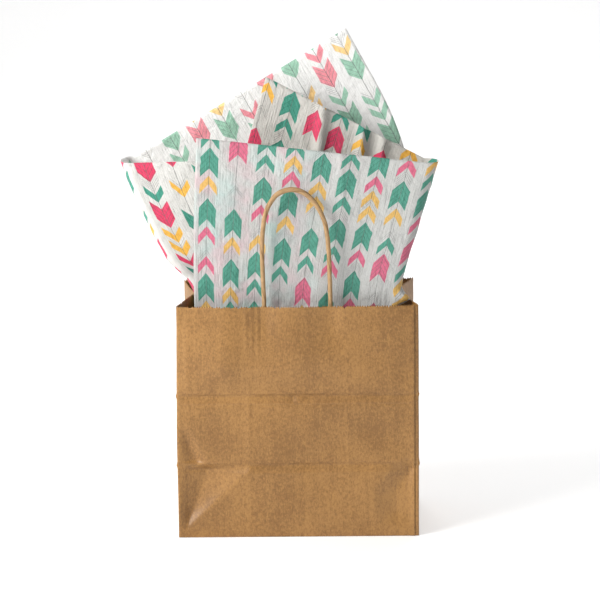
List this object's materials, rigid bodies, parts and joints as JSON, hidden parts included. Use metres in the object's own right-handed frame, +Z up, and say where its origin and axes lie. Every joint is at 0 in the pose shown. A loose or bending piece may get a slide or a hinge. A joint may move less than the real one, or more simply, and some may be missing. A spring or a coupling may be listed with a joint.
{
  "type": "gift bag",
  "caption": "Square-bottomed kraft paper gift bag with twisted paper handles and printed tissue paper standing out of its mouth.",
  "frame": {"origin": "centre of the underside of the bag's base", "axes": "+Z up, +X to the right across the bag's width as seen from the front, +Y from the front panel to the back panel"},
  "size_m": [0.2701, 0.12, 0.43],
  "materials": {
    "kraft_paper": "matte",
    "patch_paper": "matte",
    "twisted_paper_cord": "matte",
    "tissue_paper": "matte"
  },
  "bodies": {
    "bag": {"front_panel": "kraft_paper", "back_panel": "kraft_paper", "side_seam_flap": "kraft_paper", "left_gusset_front_half": "kraft_paper", "left_gusset_back_half": "kraft_paper", "left_gusset_base": "kraft_paper", "right_gusset_front_half": "kraft_paper", "right_gusset_back_half": "kraft_paper", "right_gusset_base": "kraft_paper", "front_bottom_flap": "kraft_paper", "back_bottom_flap": "kraft_paper", "left_bottom_tuck": "kraft_paper", "right_bottom_tuck": "kraft_paper", "front_handle_outer_patch": "patch_paper", "front_handle_inner_patch": "patch_paper", "back_handle_outer_patch": "patch_paper", "back_handle_inner_patch": "patch_paper", "front_handle_left_glued_end": "twisted_paper_cord", "front_handle_right_glued_end": "twisted_paper_cord", "back_handle_left_glued_end": "twisted_paper_cord", "back_handle_right_glued_end": "twisted_paper_cord"},
    "front_handle": {"front_handle_arch": "twisted_paper_cord"},
    "back_handle": {"back_handle_arch": "twisted_paper_cord"},
    "front_tissue": {"front_tissue_front_leaf": "tissue_paper", "front_tissue_side_fold": "tissue_paper", "front_tissue_rear_leaf": "tissue_paper"},
    "rear_tissue": {"rear_tissue_front_flap": "tissue_paper", "rear_tissue_side_fold": "tissue_paper", "rear_tissue_back_leaf": "tissue_paper"}
  },
  "joints": [
    {"name": "front_handle_swing", "type": "hinge", "parent": "bag", "child": "front_handle", "pos_m": [0, -0.06, 0.2053], "axis": [1, 0, 0], "range_deg": [0, 170]},
    {"name": "back_handle_swing", "type": "hinge", "parent": "bag", "child": "back_handle", "pos_m": [0, 0.06, 0.2053], "axis": [-1, 0, 0], "range_deg": [0, 170]},
    {"name": "front_tissue_lift", "type": "slide", "parent": "bag", "child": "front_tissue", "axis": [0, 0, 1], "range_m": [0, 0.22]},
    {"name": "rear_tissue_lift", "type": "slide", "parent": "bag", "child": "rear_tissue", "axis": [0, 0, 1], "range_m": [0, 0.22]}
  ]
}
